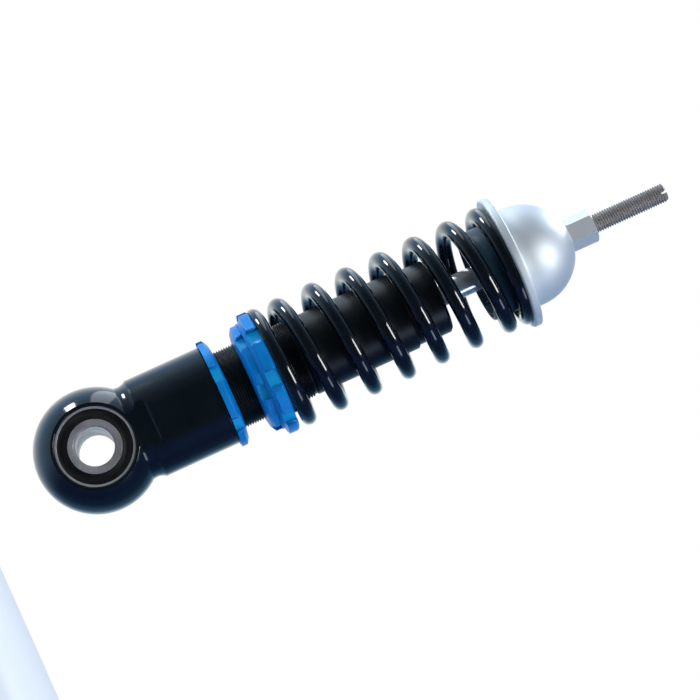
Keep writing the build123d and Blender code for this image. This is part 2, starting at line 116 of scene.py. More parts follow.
# ---------------------------------------------------------------- finishes
@dataclass
class NodeSheet:
    """The node tree of one material, with short calls for the nodes that finishes share."""

    material: bpy.types.Material

    def __post_init__(self) -> None:
        """Empty the tree and add the output and the main shader."""
        self.material.use_nodes = True
        self.tree = self.material.node_tree
        self.tree.nodes.clear()
        self.output = self.add("ShaderNodeOutputMaterial")
        self.shader = self.add("ShaderNodeBsdfPrincipled")
        self.link(self.shader.outputs["BSDF"], self.output.inputs["Surface"])

    def add(self, kind: str, **settings: object) -> bpy.types.Node:
        """Add a node.

        Args:
            kind: the node's type name.
            settings: properties of the node to set.

        Returns:
            The new node.
        """
        node = self.tree.nodes.new(kind)
        for key, value in settings.items():
            setattr(node, key, value)
        return node

    def link(self, source: bpy.types.NodeSocket, target: bpy.types.NodeSocket) -> None:
        """Join two sockets."""
        self.tree.links.new(source, target)

    def math(self, operation: str, first: object, second: object = 0.0) -> bpy.types.NodeSocket:
        """Add a Math node.

        Args:
            operation: the node's operation.
            first: a socket or a number.
            second: a socket or a number.

        Returns:
            The node's output socket.
        """
        node = self.add("ShaderNodeMath", operation=operation)
        for socket, value in zip(node.inputs, (first, second)):
            if isinstance(value, bpy.types.NodeSocket):
                self.link(value, socket)
            else:
                socket.default_value = value
        return node.outputs[0]

    def span(self, value: bpy.types.NodeSocket, low: float, high: float, to_low: float,
             to_high: float) -> bpy.types.NodeSocket:
        """Map one range of numbers smoothly onto another.

        Args:
            value: the incoming socket.
            low: start of the incoming range.
            high: end of the incoming range.
            to_low: result at the start.
            to_high: result at the end.

        Returns:
            The mapped socket.
        """
        node = self.add("ShaderNodeMapRange", interpolation_type="SMOOTHSTEP")
        self.link(value, node.inputs["Value"])
        for key, number in (("From Min", low), ("From Max", high), ("To Min", to_low),
                            ("To Max", to_high)):
            node.inputs[key].default_value = number
        return node.outputs["Result"]

    def mix(self, share: bpy.types.NodeSocket, first: object,
            second: object) -> bpy.types.NodeSocket:
        """Mix two colours.

        Args:
            share: how much of the second colour shows.
            first: a colour or a socket.
            second: a colour or a socket.

        Returns:
            The mixed colour's socket.
        """
        node = self.add("ShaderNodeMix", data_type="RGBA")
        self.link(share, node.inputs["Factor"])
        for socket, value in ((node.inputs[6], first), (node.inputs[7], second)):
            if isinstance(value, bpy.types.NodeSocket):
                self.link(value, socket)
            else:
                socket.default_value = (*value, 1.0)
        return node.outputs[2]

    def noise(self, place: bpy.types.NodeSocket, size: float,
              detail: float) -> bpy.types.NodeSocket:
        """Add cloud noise.

        Args:
            place: the coordinates that it reads.
            size: width of one cloud in metres.
            detail: number of finer layers.

        Returns:
            The noise value's socket.
        """
        node = self.add("ShaderNodeTexNoise")
        node.inputs["Scale"].default_value = 1.0 / size
        node.inputs["Detail"].default_value = detail
        self.link(place, node.inputs["Vector"])
        return node.outputs["Fac"]

    def cells(self, place: bpy.types.NodeSocket, size: float) -> bpy.types.NodeSocket:
        """Add rounded cells.

        Args:
            place: the coordinates that it reads.
            size: width of one cell in metres.

        Returns:
            The distance socket.
        """
        node = self.add("ShaderNodeTexVoronoi", feature="SMOOTH_F1")
        node.inputs["Scale"].default_value = 1.0 / size
        self.link(place, node.inputs["Vector"])
        return node.outputs["Distance"]

    def place(self) -> bpy.types.NodeSocket:
        """Return the piece's own coordinates."""
        return self.add("ShaderNodeTexCoord").outputs["Object"]

    def lathe_place(self, axis: Axis) -> bpy.types.NodeSocket:
        """Return coordinates that change only with radius and with distance along an axis.

        Args:
            axis: the axis that the part turns about.

        Returns:
            The vector socket.
        """
        apart = self.add("ShaderNodeSeparateXYZ")
        self.link(self.place(), apart.inputs[0])
        across = ("X", "Y") if axis is Axis.STRUT else ("X", "Z")
        squares = [self.math("MULTIPLY", apart.outputs[key], apart.outputs[key])
                   for key in across]
        radius = self.math("SQRT", self.math("ADD", *squares))
        joined = self.add("ShaderNodeCombineXYZ")
        self.link(radius, joined.inputs["X"])
        self.link(apart.outputs[axis.value], joined.inputs["Y"])
        return joined.outputs[0]

    def drawn_place(self, stretch: float) -> bpy.types.NodeSocket:
        """Return coordinates squeezed along the strut, so that a pattern runs in long lines.

        Args:
            stretch: how many times longer than wide the pattern gets.

        Returns:
            The vector socket.
        """
        node = self.add("ShaderNodeMapping")
        node.inputs["Scale"].default_value = (1.0, 1.0, 1.0 / stretch)
        self.link(self.place(), node.inputs["Vector"])
        return node.outputs[0]


@dataclass(frozen=True)
class Finish:
    """One surface finish.

    Attributes:
        name: the material's name.
        colour: main colour.
        drift: colour that large soft patches move towards.
        metallic: 1 for bare metal, 0 for coats and rubber.
        roughness: lowest and highest roughness.
        grain: kind of fine texture.
        grain_size: width of the texture's features.
        grain_depth: depth of the texture's features.
        coat: strength of a clear layer on top.
        coat_roughness: roughness of that layer.
        edge: colour laid on the rounded edges: a thin, worn finish on some finishes, a painted edge
            highlight on others.
        edge_width: width of the rounded edge.
        axis: axis that lathe rings follow.
        specular: strength of the reflection at right angles.
    """

    name: str
    colour: Colour
    drift: Colour
    metallic: float
    roughness: tuple[float, float]
    grain: Grain
    grain_size: float
    grain_depth: float
    coat: float = 0.0
    coat_roughness: float = 0.04
    edge: Colour | None = None
    edge_width: float = 0.0003
    axis: Axis = Axis.STRUT
    specular: float = 0.5

    def height(self, sheet: NodeSheet) -> bpy.types.NodeSocket:
        """Return the fine texture's height.

        Args:
            sheet: the node tree to add to.

        Returns:
            The height socket.
        """
        layers = GRAIN_LAYERS[self.grain]
        if self.grain is Grain.TURNED:
            return sheet.noise(sheet.lathe_place(self.axis), self.grain_size, layers)
        if self.grain is Grain.DRAWN:
            return sheet.noise(sheet.drawn_place(DRAWN_STRETCH), self.grain_size, layers)
        if self.grain is Grain.BLASTED:
            clouds = sheet.noise(sheet.place(), self.grain_size * PIT_FILL, layers)
            return sheet.math("ADD", sheet.cells(sheet.place(), self.grain_size), clouds)
        return sheet.noise(sheet.place(), self.grain_size, layers)

    def edge_wear_and_glint(self, sheet: NodeSheet, colour: bpy.types.NodeSocket,
             bump: bpy.types.Node) -> bpy.types.NodeSocket:
        """Round the edges and lay the edge colour on them, in patches: wear on some finishes, a
        painted edge highlight on others.

        Args:
            sheet: the node tree to add to.
            colour: the colour away from the edges.
            bump: the bump node that takes the rounded surface.

        Returns:
            The colour with its edge colour laid on.
        """
        bevel = sheet.add("ShaderNodeBevel", samples=BEVEL_SAMPLES)
        bevel.inputs["Radius"].default_value = self.edge_width
        surface = sheet.add("ShaderNodeNewGeometry")
        product = sheet.add("ShaderNodeVectorMath", operation="DOT_PRODUCT")
        sheet.link(bevel.outputs[0], product.inputs[0])
        sheet.link(surface.outputs["Normal"], product.inputs[1])
        sheet.link(bevel.outputs[0], bump.inputs["Normal"])
        wear_and_glint_mask = sheet.span(product.outputs["Value"], *EDGE_FADE, 1.0, 0.0)
        clouds = sheet.noise(sheet.place(), WEAR_AND_GLINT_SIZE, WEAR_AND_GLINT_LAYERS)
        patchy = sheet.span(clouds, *WEAR_AND_GLINT_FADE, LEAST_WEAR_AND_GLINT, 1.0)
        # the edge colour is a painted edge highlight on the blue rings, both bush sleeves and the
        # black housing, and wear on the other finishes
        return sheet.mix(sheet.math("MULTIPLY", wear_and_glint_mask, patchy), colour, self.edge)

    def material(self) -> bpy.types.Material:
        """Build the material.

        Returns:
            The new material.
        """
        material = bpy.data.materials.new(self.name)
        sheet = NodeSheet(material)
        shader = sheet.shader
        patches = sheet.noise(sheet.place(), PATCH_SIZE, PATCH_LAYERS)
        height = self.height(sheet)
        colour = sheet.mix(sheet.span(patches, *PATCH_FADE, 0.0, 1.0), self.colour, self.drift)
        bump = sheet.add("ShaderNodeBump")
        if self.edge is not None:
            colour = self.edge_wear_and_glint(sheet, colour, bump)
        sheet.link(colour, shader.inputs["Base Color"])
        smears = sheet.math("ADD", sheet.math("MULTIPLY", patches, PATCH_SMEAR),
                            sheet.math("MULTIPLY", height, GRAIN_SMEAR))
        sheet.link(sheet.span(smears, *SMEAR_FADE, *self.roughness), shader.inputs["Roughness"])
        bump.inputs["Strength"].default_value = 1.0
        bump.inputs["Distance"].default_value = self.grain_depth
        sheet.link(height, bump.inputs["Height"])
        sheet.link(bump.outputs[0], shader.inputs["Normal"])
        shader.inputs["Metallic"].default_value = self.metallic
        shader.inputs["Specular IOR Level"].default_value = self.specular
        shader.inputs["Coat Weight"].default_value = self.coat
        shader.inputs["Coat Roughness"].default_value = self.coat_roughness
        return material


# painted edge sheen: the edge colour gives the black housing's edges a thin lighter blue-grey rim
GLOSS_BLACK = Finish(
    "gloss_black_housing", (0.0015, 0.004, 0.006), (0.002, 0.005, 0.0075), 0.0, (0.10, 0.15),
    Grain.PEEL, 0.0030, 0.000004, coat=0.5, edge=(0.016, 0.019, 0.024), edge_width=0.0005)
SPRING_BLACK = Finish(
    "spring_powder_coat", (0.0015, 0.0035, 0.0055), (0.002, 0.0045, 0.0065), 0.0, (0.09, 0.13),
    Grain.PEEL, 0.0030, 0.000005, coat=0.6, coat_roughness=0.03)
SATIN_BLACK = Finish(
    "satin_black_tube", (0.003, 0.0055, 0.008), (0.004, 0.007, 0.010), 0.0, (0.30, 0.40),
    Grain.TURNED, 0.0006, 0.000004)
# painted edge highlight: the lighter cyan edge colour stands in for the highlights along the rings'
# edges
BLUE_ANODISED = Finish(
    "blue_anodised_ring", (0.0, 0.225, 0.66), (0.0, 0.25, 0.71), 0.3, (0.3, 0.42),
    Grain.TURNED, 0.00025, 0.000005, edge=(0.06, 0.36, 0.80), edge_width=0.0004)
# painted light: the spanner slots' floors are coloured lighter and more cyan than the rings, for
# the light that they catch
SLOT_FLOOR_PAINTED_LIGHT = Finish(
    "slot_floor_painted_light", (0.0, 0.31, 0.68), (0.0, 0.34, 0.72), 0.15, (0.34, 0.46),
    Grain.MOULDED, 0.0006, 0.000004)
# painted edge highlight: the near-white edge colour brightens the inner sleeve's edges
TURNED_STEEL = Finish(
    "turned_sleeve_steel", (0.36, 0.345, 0.36), (0.22, 0.21, 0.22), 0.45, (0.24, 0.38),
    Grain.TURNED, 0.00045, 0.00003, edge=(0.8, 0.8, 0.8), axis=Axis.BORE)
# painted highlight: the near-white edge colour draws the outer sleeve's rim as a bright thin ring
SLEEVE_RIM_PAINTED_HIGHLIGHT = Finish(
    "sleeve_rim_painted_highlight", (0.28, 0.28, 0.285), (0.23, 0.23, 0.235), 0.25, (0.24, 0.38),
    Grain.TURNED, 0.00035, 0.000006, edge=(0.95, 0.95, 0.95), edge_width=0.0003, axis=Axis.BORE)
DARK_THREAD = Finish(
    "stud_thread_steel", (0.40, 0.375, 0.37), (0.34, 0.32, 0.315), 0.6, (0.46, 0.54),
    Grain.PEEL, 0.004, 0.0000004)
CHROME = Finish(
    "hard_chrome", (0.82, 0.85, 0.88), (0.76, 0.79, 0.82), 0.62, (0.08, 0.14),
    Grain.DRAWN, 0.0006, 0.000001)
SILVER_CUP = Finish(
    "blasted_silver_cup", (0.74, 0.80, 0.83), (0.69, 0.75, 0.78), 0.72, (0.48, 0.56),
    Grain.BLASTED, 0.00045, 0.000012, edge=(0.88, 0.89, 0.9), edge_width=0.0004)
# painted shade: the silver cup's skirt inside the spring is coloured dark teal for the shade that
# it lies in
CUP_SKIRT_PAINTED_SHADE = Finish(
    "cup_skirt_painted_shade", (0.03, 0.075, 0.12), (0.038, 0.09, 0.135), 0.0, (0.3, 0.42),
    Grain.MOULDED, 0.0009, 0.000006)
ZINC_STEEL = Finish(
    "zinc_plated_steel", (0.74, 0.77, 0.80), (0.68, 0.71, 0.75), 0.6, (0.34, 0.44),
    Grain.MOULDED, 0.0009, 0.000001)
BUSH_RUBBER = Finish(
    "bush_rubber", (0.010, 0.010, 0.012), (0.018, 0.018, 0.02), 0.0, (0.42, 0.6),
    Grain.MOULDED, 0.0007, 0.00003, specular=0.4)
SEAL_RUBBER = Finish(
    "seal_rubber", (0.012, 0.012, 0.014), (0.02, 0.02, 0.022), 0.0, (0.35, 0.5),
    Grain.MOULDED, 0.0005, 0.00001)
BRONZE = Finish(
    "sintered_bronze", (0.42, 0.29, 0.14), (0.34, 0.23, 0.11), 1.0, (0.36, 0.5),
    Grain.BLASTED, 0.0003, 0.00001, edge=(0.6, 0.45, 0.25))
FILLED_PTFE = Finish(
    "filled_ptfe", (0.09, 0.1, 0.11), (0.13, 0.14, 0.15), 0.0, (0.4, 0.55),
    Grain.TURNED, 0.0003, 0.000006)
BUMP_FOAM = Finish(
    "bump_stop_foam", (0.50, 0.38, 0.10), (0.42, 0.31, 0.08), 0.0, (0.55, 0.75),
    Grain.MOULDED, 0.0008, 0.00005)
BLUED_STEEL = Finish(
    "blued_spring_steel", (0.16, 0.18, 0.24), (0.22, 0.22, 0.25), 1.0, (0.22, 0.34),
    Grain.TURNED, 0.0004, 0.000004, edge=(0.5, 0.5, 0.52), edge_width=0.0001)


@dataclass
class FinishStore:
    """Materials by finish, each built once."""

    made: dict[str, bpy.types.Material] = field(default_factory=dict)

    def get(self, finish: Finish) -> bpy.types.Material:
        """Return the material of a finish, and build it the first time.

        Args:
            finish: the finish.

        Returns:
            Its material.
        """
        if finish.name not in self.made:
            self.made[finish.name] = finish.material()
        return self.made[finish.name]

    def dress(self, node: str, finish: Finish) -> None:
        """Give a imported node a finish.

        Args:
            node: the node's name.
            finish: the finish to use.
        """
        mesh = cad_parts[node].data
        mesh.materials.clear()
        mesh.materials.append(self.get(finish))
        LOG.info("dressed %s with %s", node, finish.name)


# ---------------------------------------------------------------- mesh helpers
def lay_chain(mesh: bmesh.types.BMesh, chain: Chain, axis: Axis = Axis.STRUT) -> list:
    """Lay a chain of edges in the half plane of an axis.

    Args:
        mesh: the mesh to add to.
        chain: points as (radius, place along the axis).
        axis: the axis.

    Returns:
        The new vertices and edges.
    """
    if axis is Axis.STRUT:
        verts = [mesh.verts.new((radius, 0.0, along)) for radius, along in chain]
    else:
        verts = [mesh.verts.new((radius, along, 0.0)) for radius, along in chain]
    edges = [mesh.edges.new(pair) for pair in zip(verts, verts[1:])]
    return verts + edges


def spin_chain(mesh: bmesh.types.BMesh, chain: Chain, steps: int,
               axis: Axis = Axis.STRUT) -> None:
    """Turn a chain of points fully about an axis.

    Args:
        mesh: the mesh to add to.
        chain: points as (radius, place along the axis).
        steps: facets round the axis.
        axis: the axis.
    """
    line = UPWARDS if axis is Axis.STRUT else Vector((0, 1, 0))
    bmesh.ops.spin(mesh, geom=lay_chain(mesh, chain, axis), cent=(0, 0, 0), axis=line,
                   dvec=(0, 0, 0), angle=FULL_TURN, steps=steps, use_merge=True)
    bmesh.ops.remove_doubles(mesh, verts=mesh.verts, dist=WELD)


def open_edges(mesh: bmesh.types.BMesh, height: float) -> list[bmesh.types.BMEdge]:
    """Find the open edges that lie at one height.

    Args:
        mesh: the mesh to search.
        height: the height along the strut.

    Returns:
        The edges.
    """
    return [edge for edge in mesh.edges
            if edge.is_boundary and all(abs(vert.co.z - height) < RIM_REACH for vert in edge.verts)]


def trim(mesh: bmesh.types.BMesh, height: float, side: float) -> None:
    """Cut the mesh flat at one height and drop what lies past it.

    Args:
        mesh: the mesh to cut.
        height: the height along the strut.
        side: 1 to drop what lies above, -1 to drop what lies below.
    """
    bmesh.ops.bisect_plane(mesh, geom=mesh.verts[:] + mesh.edges[:] + mesh.faces[:],
                           dist=CUT_REACH, plane_co=(0, 0, height), plane_no=(0, 0, side),
                           clear_outer=True)


@dataclass(frozen=True)
class Thread:
    """A right-handed screw thread about the strut's axis.

    Attributes:
        radius: outside radius.
        depth: depth of the groove.
        pitch: rise per turn.
        facets: facets round the axis.
        tooth: one tooth's corners, as (share of the depth, share of the pitch).
    """

    radius: float
    depth: float
    pitch: float
    facets: int
    tooth: tuple[tuple[float, float], ...] = ((0.0, 0.0), (1.0, 0.375), (1.0, 0.5), (0.0, 0.875))

    def cut(self, mesh: bmesh.types.BMesh, low: float, high: float) -> None:
        """Add the threaded skin between two heights, open at both ends.

        Args:
            mesh: the mesh to add to.
            low: lower end.
            high: upper end.
        """
        root = self.radius - self.depth
        feet = [low + turn * self.pitch
                for turn in range(-1, math.ceil((high - low) / self.pitch) + 1)]
        chain = [(root + rise * self.depth, foot + share * self.pitch)
                 for foot in feet for rise, share in self.tooth]
        thread = bmesh.new()
        bmesh.ops.spin(thread, geom=lay_chain(thread, chain), cent=(0, 0, 0), axis=UPWARDS,
                       dvec=(0, 0, self.pitch / self.facets), angle=FULL_TURN, steps=self.facets)
        bmesh.ops.remove_doubles(thread, verts=thread.verts, dist=WELD)
        trim(thread, low, -1.0)
        trim(thread, high, 1.0)
        scratch = bpy.data.meshes.new("thread")
        thread.to_mesh(scratch)
        thread.free()
        mesh.from_mesh(scratch)
        bpy.data.meshes.remove(scratch)


def turned_thread(thread: Thread, low: float, high: float, below: Chain,
                  above: Chain) -> bmesh.types.BMesh:
    """Join a threaded skin to plain turned chains at its two ends.

    Args:
        thread: the thread.
        low: lower end of the thread.
        high: upper end of the thread.
        below: chain whose last point lies just below the thread.
        above: chain whose first point lies just above the thread.

    Returns:
        The joined mesh.
    """
    mesh = bmesh.new()
    for chain in (below, above):
        spin_chain(mesh, chain, thread.facets)
    thread.cut(mesh, low, high)
    for near, far in ((low, below[-1][1]), (high, above[0][1])):
        bmesh.ops.bridge_loops(mesh, edges=open_edges(mesh, near) + open_edges(mesh, far))
    bmesh.ops.remove_doubles(mesh, verts=mesh.verts, dist=WELD)
    return mesh


def piece_from(mesh: bmesh.types.BMesh, name: str, body: str, nodes: tuple[str, ...],
               materials: list[bpy.types.Material], sharp: float = SHARP) -> bpy.types.Object:
    """Turn a finished mesh into a piece of the object.

    Args:
        mesh: the mesh, which is freed.
        name: the piece's name.
        body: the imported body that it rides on.
        nodes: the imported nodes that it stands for.
        materials: its materials in slot order.
        sharp: angle in degrees past which an edge stays sharp.

    Returns:
        The new object.
    """
    bmesh.ops.recalc_face_normals(mesh, faces=mesh.faces)
    data = bpy.data.meshes.new(name)
    mesh.to_mesh(data)
    mesh.free()
    for polygon in data.polygons:
        polygon.use_smooth = True
    data.set_sharp_from_angle(angle=math.radians(sharp))
    for material in materials:
        data.materials.append(material)
    piece = bpy.data.objects.new(name, data)
    bpy.context.scene.collection.objects.link(piece)
    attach(piece, body)
    if nodes:
        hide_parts(*nodes)
    LOG.info("built %s: %d faces, rides on %s", name, len(data.polygons), body)
    return piece


def painted_light_copy(node: str, body: str, materials: list[bpy.types.Material],
             pick: Callable[[bmesh.types.BMFace], bool], flat: bool = False) -> bpy.types.Object:
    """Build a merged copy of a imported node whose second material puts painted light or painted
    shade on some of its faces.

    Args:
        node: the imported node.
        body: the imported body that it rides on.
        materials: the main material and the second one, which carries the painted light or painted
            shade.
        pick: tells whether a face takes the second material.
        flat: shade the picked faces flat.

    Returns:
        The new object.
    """
    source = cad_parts[node]
    mesh = bmesh.new()
    mesh.from_mesh(source.data)
    bmesh.ops.transform(mesh, matrix=source.matrix_world, verts=mesh.verts)
    bmesh.ops.remove_doubles(mesh, verts=mesh.verts, dist=WELD)
    bmesh.ops.recalc_face_normals(mesh, faces=mesh.faces)
    for face in mesh.faces:
        face.material_index = int(pick(face))
    piece = piece_from(mesh, f"{node}_painted_light_copy", body, (node,), materials, sharp=30.0)
    for polygon in piece.data.polygons:
        polygon.use_smooth = not (flat and polygon.material_index == 1)
    return piece


# ---------------------------------------------------------------- sub-assemblies
@dataclass
class EyeEnd:
    """The eye's housing with its bonded rubber bush.

    Attributes:
        store: the materials.
        rubber_in: the rubber's inside radius.
        rubber_out: the rubber's outside radius.
        rubber_half: half the rubber's length.
        dish: depth of the hollow in each end.
        facets: facets round the bore.
        hollow: the hollow's section, as (share of the width, share of the depth).
    """

    store: FinishStore
    rubber_in: float = 0.01255
    rubber_out: float = 0.0175
    rubber_half: float = 0.0195
    dish: float = 0.0020
    facets: int = 96
    hollow: tuple[tuple[float, float], ...] = (
        (0.0, 0.0), (0.12, 0.35), (0.3, 0.85), (0.5, 1.0), (0.7, 0.85), (0.88, 0.35), (1.0, 0.0))

    def build_rubber(self) -> bpy.types.Object:
        """Build the bush's rubber with dished ends.

        Returns:
            The rubber.
        """
        width = self.rubber_out - self.rubber_in
        front = [(self.rubber_in + share * width, -self.rubber_half + deep * self.dish)
                 for share, deep in self.hollow]
        back = [(radius, -along) for radius, along in reversed(front)]
        mesh = bmesh.new()
        spin_chain(mesh, front + back + front[:1], self.facets, Axis.BORE)
        return piece_from(mesh, "bush_rubber_dished", "eye_body", ("bush_rubber",),
                          [self.store.get(BUSH_RUBBER)], sharp=50.0)

    def dress(self) -> None:
        """Give the housing and the sleeves their finishes."""
        self.store.dress("eye_housing", GLOSS_BLACK)
        self.store.dress("bush_inner_sleeve", TURNED_STEEL)
        self.store.dress("bush_outer_sleeve", SLEEVE_RIM_PAINTED_HIGHLIGHT)


@dataclass
class DamperUnit:
    """The threaded tube, its cap and what they hold.

    Attributes:
        store: the materials.
        barrel: radius of the plain upper half.
        relief: radius of the grooves at the thread's ends.
        bore: radius of the bore.
        head_bore: radius of the wider bore that takes the cap.
        edge: width of the broken edges.
        thread: the thread on the lower half.
        in_housing: length of thread that the housing hides.
        over_nut: length of thread that shows above the nut.
        plain_top: least plain length above the thread.
        lead: height of the taper under the thread.
        join: gap that joins the thread to its grooves.
        groove: top of the upper groove, over the thread.
        ramp: top of the taper over that groove.
    """

    store: FinishStore
    barrel: float = 0.0188
    relief: float = 0.0181
    bore: float = 0.015
    head_bore: float = 0.0165
    edge: float = 0.0006
    thread: Thread = Thread(0.019, 0.00072, 0.00125, 96)
    in_housing: float = 0.004
    over_nut: float = 0.0105
    plain_top: float = 0.04
    lead: float = 0.0008
    join: float = 0.0002
    groove: float = 0.0012
    ramp: float = 0.0019

    def build_tube(self) -> bpy.types.Object:
        """Build the tube with its screw thread.

        Returns:
            The tube.
        """
        low, high = (corner.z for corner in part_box("damper_tube"))
        thread_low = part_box("eye_housing")[1].z - self.in_housing
        thread_high = min(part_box("preload_nut")[1].z + self.over_nut, high - self.plain_top)
        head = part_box("end_cap")[0].z
        radius = self.thread.radius
        below = [(self.bore, low), (radius - self.edge, low), (radius, low + self.edge),
                 (radius, thread_low - self.lead), (self.relief, thread_low - self.join)]
        above = [(self.relief, thread_high + self.join), (self.relief, thread_high + self.groove),
                 (self.barrel, thread_high + self.ramp), (self.barrel, high - self.edge),
                 (self.barrel - self.edge, high), (self.head_bore, high), (self.head_bore, head),
                 (self.bore, head), (self.bore, low)]
        mesh = turned_thread(self.thread, thread_low, thread_high, below, above)
        return piece_from(mesh, "damper_tube_threaded", "damper_body", ("damper_tube",),
                          [self.store.get(SATIN_BLACK)])

    def dress(self) -> None:
        """Give the cap, the seals and the base their finishes."""
        for node, finish in (("end_cap", SATIN_BLACK), ("cap_o_ring", SEAL_RUBBER),
                             ("rod_seal", SEAL_RUBBER), ("guide_bush", BRONZE),
                             ("rod_wiper", SEAL_RUBBER), ("base_plug", ZINC_STEEL),
                             ("base_o_ring", SEAL_RUBBER), ("charge_screw", ZINC_STEEL),
                             ("floating_piston", SILVER_CUP),
                             ("floating_piston_o_ring", SEAL_RUBBER)):
            self.store.dress(node, finish)


@dataclass
class PreloadSet:
    """The two lock rings, the preload nut and the spring.

    Attributes:
        store: the materials.
        coil_radius: radius of the helix that the wire's centre follows.
        wire_radius: radius of the wire.
        turns: turns of wire from end to end.
        closing_turns: turns at each end over which the pitch opens.
        closing_slope: pitch at the very end.
        end_offset: height of the wire's centre over the ground face at the very end.
        start_angle: where the lower end starts, in degrees round the strut.
        steps_per_turn: facets along one turn.
        wire_facets: facets round the wire.
        squash_keep: share of the spring's height left at full stroke; not used.
        ring_slot: depth of the spanner slots in the two rings.
        nut_slot: depth of the spanner slots in the nut.
        floor_reach: how far from its depth a face still counts as a slot's floor.
        floor_lean: how far a slot's floor may lean from upright.
    """

    store: FinishStore
    coil_radius: float = 0.0264
    wire_radius: float = 0.00375
    turns: float = 7.9
    closing_turns: float = 1.2
    closing_slope: float = 0.0016
    end_offset: float = 0.00045
    start_angle: float = 77.4
    steps_per_turn: int = 80
    wire_facets: int = 28
    squash_keep: float = 0.602
    ring_slot: float = 0.0022
    nut_slot: float = 0.0026
    floor_reach: float = 0.0004
    floor_lean: float = 0.1

    def wire_height(self, turn: float, low: float, high: float) -> float:
        """Give the height of the wire's centre.

        Args:
            turn: turns from the lower end.
            low: the spring's lower face.
            high: the spring's upper face.

        Returns:
            The height.
        """
        if turn > self.turns / 2:
            return low + high - self.wire_height(self.turns - turn, low, high)
        rise = high - low - 2 * self.end_offset
        pitch = (rise - self.closing_turns * self.closing_slope) / (self.turns - self.closing_turns)
        near = min(turn, self.closing_turns)
        height = low + self.end_offset + self.closing_slope * near
        height += (pitch - self.closing_slope) * near**2 / (2 * self.closing_turns)
        return height + pitch * (turn - near)

    def build_spring(self) -> bpy.types.Object:
        """Sweep the spring's wire and grind its ends flat.

        Returns:
            The spring.
        """
        low, high = (corner.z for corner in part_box("coil_spring"))
        mesh = bmesh.new()
        made = bmesh.ops.create_circle(mesh, segments=self.wire_facets, radius=self.wire_radius)
        loop = list({edge for vert in made["verts"] for edge in vert.link_edges})
        place = Matrix.Translation((self.coil_radius, 0, self.wire_height(0.0, low, high)))
        start = Matrix.Rotation(math.radians(self.start_angle), 4, "Z") @ place
        bmesh.ops.transform(mesh, matrix=start @ Matrix.Rotation(math.pi / 2, 4, "X"),
                            verts=made["verts"])
        bmesh.ops.contextual_create(mesh, geom=loop)
        steps = round(self.turns * self.steps_per_turn)
        turn = Matrix.Rotation(FULL_TURN * self.turns / steps, 4, "Z")
        for step in range(steps):
            here, there = (self.wire_height(self.turns * count / steps, low, high)
                           for count in (step, step + 1))
            grown = bmesh.ops.extrude_edge_only(mesh, edges=loop)["geom"]
            verts = [item for item in grown if isinstance(item, bmesh.types.BMVert)]
            near = set(verts)
            bmesh.ops.transform(mesh, matrix=Matrix.Translation((0, 0, there - here)) @ turn,
                                verts=verts)
            loop = [item for item in grown
                    if isinstance(item, bmesh.types.BMEdge) and set(item.verts) <= near]
        bmesh.ops.contextual_create(mesh, geom=loop)
        for height, side in ((low, -1.0), (high, 1.0)):
            trim(mesh, height, side)
            filled = bmesh.ops.holes_fill(mesh, edges=open_edges(mesh, height), sides=0)["faces"]
            bmesh.ops.triangulate(mesh, faces=filled)
        piece = piece_from(mesh, "coil_spring_wound", "spring_carrier", ("coil_spring",),
                           [self.store.get(SPRING_BLACK)], sharp=60.0)
        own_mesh(piece)
        return piece

    def build_rings(self) -> None:
        """Build the rings and the nut with painted light on the slot floors, which are coloured
        lighter than the rings.
        """
        materials = [self.store.get(BLUE_ANODISED), self.store.get(SLOT_FLOOR_PAINTED_LIGHT)]
        for node, body, depth in (("body_lock_ring", "body_ring", self.ring_slot),
                                  ("preload_nut", "nut_body", self.nut_slot),
                                  ("preload_lock_ring", "preload_ring", self.ring_slot)):
            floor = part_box(node)[1].y - depth
            painted_light_copy(node, body, materials,
                     lambda face, floor=floor: self.is_floor(face, floor), flat=True)

    def is_floor(self, face: bmesh.types.BMFace, floor: float) -> bool:
        """Tell whether a face is the floor of a spanner slot.

        Args:
            face: the face.
            floor: distance of the floors from the strut's axis.

        Returns:
            Whether the face is such a floor.
        """
        centre, normal = face.calc_center_median(), face.normal
        out = centre.x * normal.x + centre.y * normal.y
        return abs(normal.z) < self.floor_lean and abs(out - floor) < self.floor_reach


